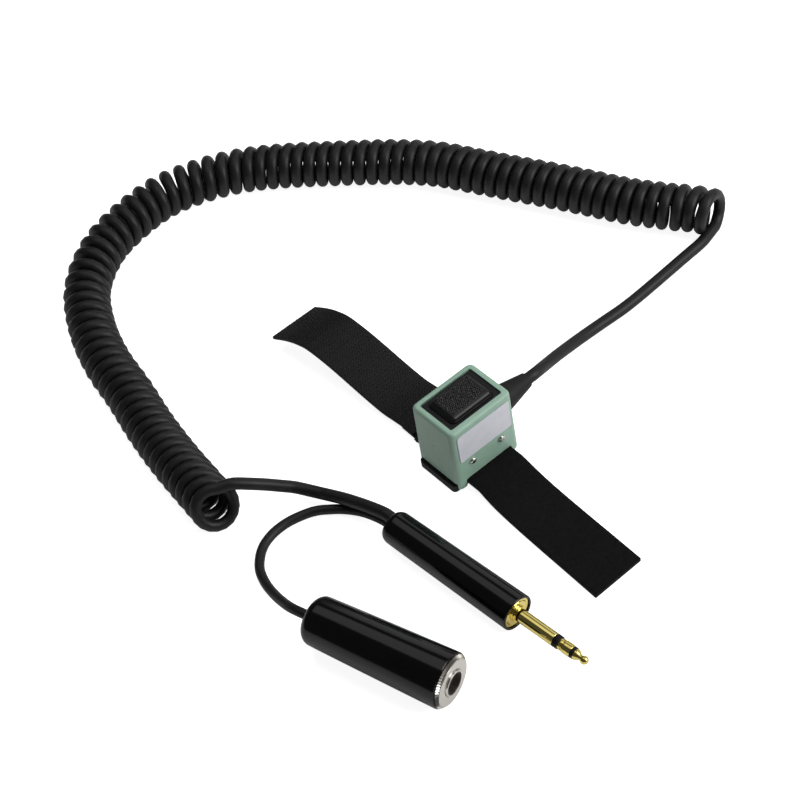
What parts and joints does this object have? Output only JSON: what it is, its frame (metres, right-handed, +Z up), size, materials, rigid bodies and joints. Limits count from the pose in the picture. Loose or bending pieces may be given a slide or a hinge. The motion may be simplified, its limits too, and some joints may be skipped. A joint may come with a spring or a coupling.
{
  "type": "push-to-talk switch",
  "caption": "Portable push-to-talk switch: small moulded box with a press button, hook-and-loop strap through its foot, curly cord, three-conductor plug and in-line jack.",
  "frame": {"origin": "centre of the box's underside, on the surface the object lies on", "axes": "+Z up out of the button, +X along the box's long side towards the strain relief, +Y along the strap, away from the side with the bare plate"},
  "size_m": [0.2666, 0.3201, 0.0344],
  "materials": {
    "mint_plastic": "satin",
    "bare_label": "satin",
    "black_plastic": "satin",
    "textured_black": "pebbled",
    "nickel_steel": "satin",
    "phenolic": "satin",
    "white_plastic": "satin",
    "contact_metal": "satin",
    "wire_insulation": "satin",
    "black_rubber": "matte",
    "cord_jacket": "satin",
    "loop_fabric": "matte",
    "hook_fabric": "matte",
    "handle_plastic": "semi-gloss",
    "gold_brass": "polished",
    "plug_insulator": "satin",
    "nickel_brass": "polished"
  },
  "bodies": {
    "switch_box": {"housing": "mint_plastic", "label_plate": "bare_label", "base_block": "black_plastic", "housing_screws": "nickel_steel", "button_bezel": "black_plastic", "return_springs": "nickel_steel", "switch_carrier": "black_plastic", "switch_case": "phenolic", "switch_cover": "black_plastic", "switch_blade": "contact_metal", "switch_terminals": "contact_metal", "lead_wires": "wire_insulation", "strain_relief": "black_rubber", "cord_stub": "cord_jacket", "cord_clamp": "nickel_steel", "lead_cord": "cord_jacket", "coil_cord": "cord_jacket", "tail_cord": "cord_jacket", "jack_cord": "cord_jacket", "plug_handle": "handle_plastic", "plug_body": "gold_brass", "plug_rear_insulator": "plug_insulator", "plug_ring_contact": "gold_brass", "plug_front_insulator": "plug_insulator", "plug_tip_contact": "gold_brass", "plug_terminals": "nickel_steel", "plug_cord_bushing": "black_rubber", "jack_handle": "handle_plastic", "jack_face_nut": "nickel_brass", "jack_bushing": "nickel_brass", "jack_insulator_stack": "phenolic", "jack_tip_spring": "contact_metal", "jack_ring_spring": "contact_metal", "jack_terminals": "nickel_steel", "jack_cord_grip": "nickel_steel"},
    "button": {"button_cap": "textured_black"},
    "plunger": {"switch_plunger": "white_plastic"},
    "strap": {"strap_loop_tape": "loop_fabric", "strap_hook_tape": "hook_fabric"}
  },
  "joints": [
    {"name": "button_press", "type": "slide", "parent": "switch_box", "child": "button", "axis": [0, 0, -1], "range_m": [0, 0.0012], "stiffness_N_per_m": 900, "springref_m": -0.0015, "deforming": ["return_springs"]},
    {"name": "plunger_travel", "type": "slide", "parent": "switch_box", "child": "plunger", "axis": [0, 0, -1], "range_m": [0, 0.0012]},
    {"name": "strap_slide", "type": "slide", "parent": "switch_box", "child": "strap", "axis": [0, 1, 0], "range_m": [-0.005, 0.005]}
  ],
  "couplings": [
    {"joint": "plunger_travel", "follows": "button_press", "ratio": 1}
  ]
}
